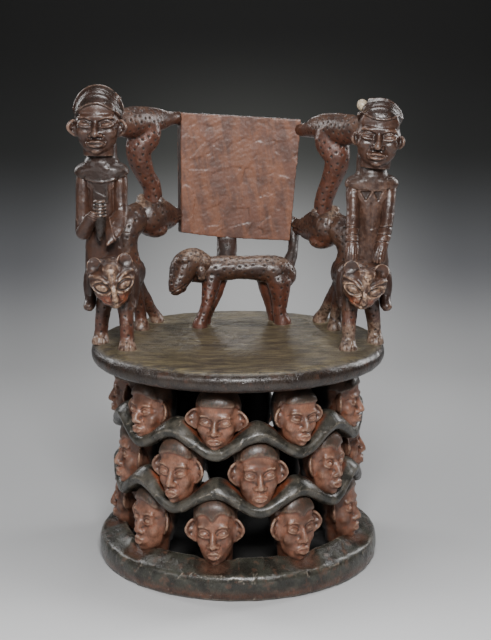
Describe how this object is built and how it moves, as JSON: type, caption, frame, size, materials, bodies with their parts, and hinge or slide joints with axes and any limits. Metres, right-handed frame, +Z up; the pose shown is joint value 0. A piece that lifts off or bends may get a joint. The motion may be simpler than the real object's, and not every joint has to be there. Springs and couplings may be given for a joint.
{
  "type": "carved throne",
  "caption": "Round carved wooden throne: dished base, open wall of heads between wavy serpents, thick seat, backrest of leopards, riders and a flat panel.",
  "frame": {"origin": "middle of the face that the base stands on", "axes": "+X to the sitter's left, -Y to the front, +Z up"},
  "size_m": [0.6126, 0.55, 0.8902],
  "materials": {
    "patina_wood": "blackened, hand polished, glossy where it is rubbed",
    "seat_wood": "blackened rim, worn olive brown top with open grain",
    "camwood_red_wood": "red camwood powder rubbed into dark wood, worn on the high places",
    "panel_wood": "rough adze facets with red camwood powder in the hollows",
    "dark_wood": "dark, smooth and glossy"
  },
  "bodies": {
    "root": {"back_panel": "panel_wood", "base": "patina_wood", "centre_leopard_body": "camwood_red_wood", "centre_leopard_head": "camwood_red_wood", "centre_leopard_tail": "dark_wood", "left_climbing_leopard_body": "camwood_red_wood", "left_climbing_leopard_head": "camwood_red_wood", "left_leopard_body": "camwood_red_wood", "left_leopard_head": "camwood_red_wood", "left_rider_cap": "dark_wood", "left_rider_head": "camwood_red_wood", "left_rider_horn": "dark_wood", "left_rider_inner_arm": "camwood_red_wood", "left_rider_legs": "camwood_red_wood", "left_rider_outer_arm": "camwood_red_wood", "left_rider_torso": "camwood_red_wood", "left_top_leopard": "camwood_red_wood", "lower_head_1": "camwood_red_wood", "lower_head_2": "camwood_red_wood", "lower_head_3": "camwood_red_wood", "lower_head_4": "camwood_red_wood", "lower_head_5": "camwood_red_wood", "lower_head_6": "camwood_red_wood", "lower_head_7": "camwood_red_wood", "lower_head_8": "camwood_red_wood", "lower_head_9": "camwood_red_wood", "lower_serpent": "patina_wood", "middle_head_1": "camwood_red_wood", "middle_head_2": "camwood_red_wood", "middle_head_3": "camwood_red_wood", "middle_head_4": "camwood_red_wood", "middle_head_5": "camwood_red_wood", "middle_head_6": "camwood_red_wood", "middle_head_7": "camwood_red_wood", "middle_head_8": "camwood_red_wood", "middle_head_9": "camwood_red_wood", "panel_post": "dark_wood", "right_climbing_leopard_body": "camwood_red_wood", "right_climbing_leopard_head": "camwood_red_wood", "right_leopard_body": "camwood_red_wood", "right_leopard_head": "camwood_red_wood", "right_rider_cap": "dark_wood", "right_rider_head": "camwood_red_wood", "right_rider_inner_arm": "camwood_red_wood", "right_rider_legs": "camwood_red_wood", "right_rider_outer_arm": "camwood_red_wood", "right_rider_torso": "camwood_red_wood", "right_top_leopard": "camwood_red_wood", "seat": "seat_wood", "upper_head_1": "camwood_red_wood", "upper_head_2": "camwood_red_wood", "upper_head_3": "camwood_red_wood", "upper_head_4": "camwood_red_wood", "upper_head_5": "camwood_red_wood", "upper_head_6": "camwood_red_wood", "upper_head_7": "camwood_red_wood", "upper_head_8": "camwood_red_wood", "upper_head_9": "camwood_red_wood", "upper_serpent": "patina_wood"}
  },
  "joints": []
}
